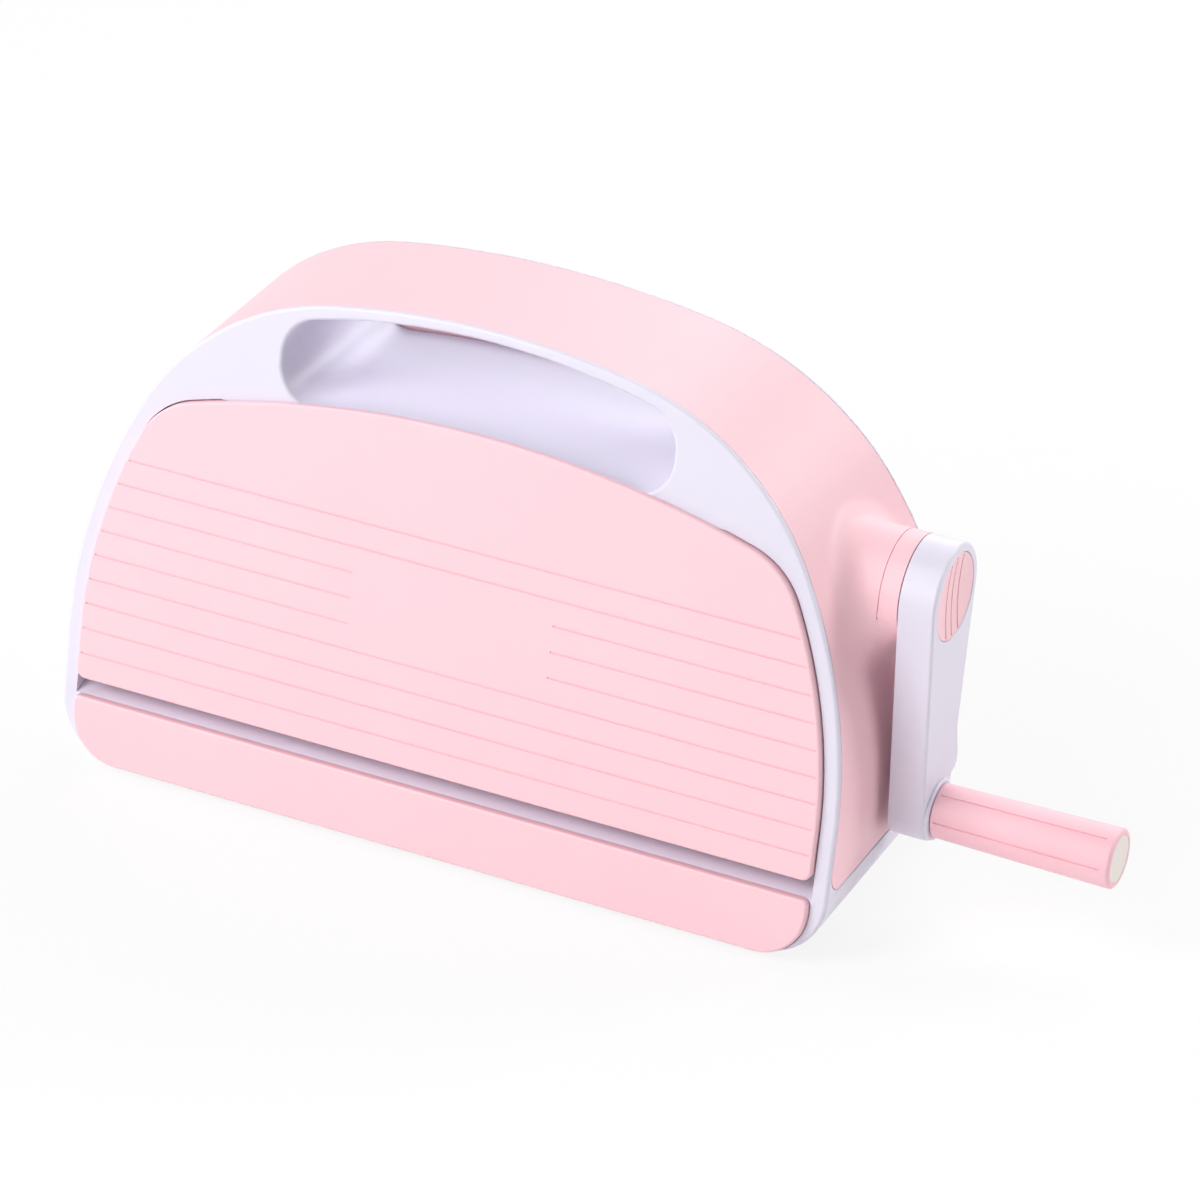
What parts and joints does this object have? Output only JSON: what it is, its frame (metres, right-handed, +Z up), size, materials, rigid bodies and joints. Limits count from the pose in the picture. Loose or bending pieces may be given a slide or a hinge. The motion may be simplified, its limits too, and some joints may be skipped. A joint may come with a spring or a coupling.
{
  "type": "manual die cutting and embossing machine",
  "caption": "Hand cranked roller press with a carry handle and two fold-down feed flaps, for cutting and embossing card between plates.",
  "frame": {"origin": "on the floor, under the middle of the body, at the face of the middle foot", "axes": "+Z up, +X to the side that carries the crank, +Y to the back; plates are fed along Y"},
  "size_m": [0.4315, 0.1446, 0.2176],
  "materials": {
    "lavender_shell": "smooth moulded lavender plastic, satin sheen",
    "pink_trim": "smooth moulded blush pink plastic",
    "grip_pink": "smooth moulded pink plastic, slightly deeper than the trim",
    "cream_plug": "cream plastic insert",
    "plate_steel": "pressed and zinc plated steel sheet",
    "ground_steel": "ground and plated steel",
    "gear_plastic": "natural white moulded gear plastic",
    "bush_bronze": "sintered bronze",
    "rubber": "dark grey rubber",
    "tray_plastic": "lavender plastic, matt"
  },
  "bodies": {
    "machine": {"front_shell": "lavender_shell", "rear_shell": "lavender_shell", "arch_band": "pink_trim", "front_lower_panel": "pink_trim", "rear_lower_panel": "pink_trim", "base_tray": "tray_plastic", "rubber_feet": "rubber", "base_screws": "ground_steel", "chassis_screws": "ground_steel", "front_deck": "lavender_shell", "rear_deck": "lavender_shell", "left_side_plate": "plate_steel", "right_side_plate": "plate_steel", "tie_rods": "ground_steel", "tie_rod_screws": "ground_steel", "roller_bushes": "bush_bronze", "crank_inner_bush": "bush_bronze", "crank_outer_bush": "bush_bronze", "idler_axle": "ground_steel", "idler_clip": "ground_steel", "front_hinge_pins": "ground_steel", "rear_hinge_pins": "ground_steel", "front_catch_plates": "plate_steel", "rear_catch_plates": "plate_steel"},
    "crank": {"crank_shaft": "ground_steel", "crank_shaft_clip": "plate_steel", "crank_pinion": "plate_steel", "crank_arm": "lavender_shell", "crank_screw": "ground_steel", "crank_cap": "pink_trim", "grip_spindle": "ground_steel"},
    "grip": {"grip_sleeve": "grip_pink", "grip_end_plug": "cream_plug"},
    "idler": {"idler_gear": "gear_plastic"},
    "upper_roller": {"upper_roller": "ground_steel", "drive_gear": "gear_plastic", "upper_sync_gear": "gear_plastic", "upper_roller_clips": "plate_steel"},
    "lower_roller": {"lower_roller": "ground_steel", "lower_sync_gear": "gear_plastic", "lower_roller_clip": "plate_steel"},
    "front_flap": {"front_flap_cover": "pink_trim", "front_flap_table": "lavender_shell", "front_flap_magnets": "ground_steel"},
    "rear_flap": {"rear_flap_cover": "pink_trim", "rear_flap_table": "lavender_shell", "rear_flap_magnets": "ground_steel"}
  },
  "joints": [
    {"name": "crank_turn", "type": "hinge", "parent": "machine", "child": "crank", "pos_m": [0.155, 0, 0.13629], "axis": [1, 0, 0], "continuous": true},
    {"name": "grip_spin", "type": "hinge", "parent": "crank", "child": "grip", "pos_m": [0.225, -0.00562, 0.04447], "axis": [1, 0, 0], "continuous": true},
    {"name": "idler_turn", "type": "hinge", "parent": "machine", "child": "idler", "pos_m": [0.1325, 0.01775, 0.12247], "axis": [1, 0, 0], "continuous": true},
    {"name": "upper_roller_turn", "type": "hinge", "parent": "machine", "child": "upper_roller", "pos_m": [0, 0, 0.07306], "axis": [1, 0, 0], "continuous": true},
    {"name": "lower_roller_turn", "type": "hinge", "parent": "machine", "child": "lower_roller", "pos_m": [0, 0, 0.03106], "axis": [1, 0, 0], "continuous": true},
    {"name": "front_flap_hinge", "type": "hinge", "parent": "machine", "child": "front_flap", "pos_m": [0, -0.05931, 0.04046], "axis": [1, 0, 0], "range_deg": [0, 100]},
    {"name": "rear_flap_hinge", "type": "hinge", "parent": "machine", "child": "rear_flap", "pos_m": [0, 0.05931, 0.04046], "axis": [-1, 0, 0], "range_deg": [0, 100]}
  ],
  "couplings": [
    {"joint": "idler_turn", "follows": "crank_turn", "ratio": -1.1429},
    {"joint": "upper_roller_turn", "follows": "crank_turn", "ratio": 0.28571},
    {"joint": "lower_roller_turn", "follows": "crank_turn", "ratio": -0.28571}
  ]
}
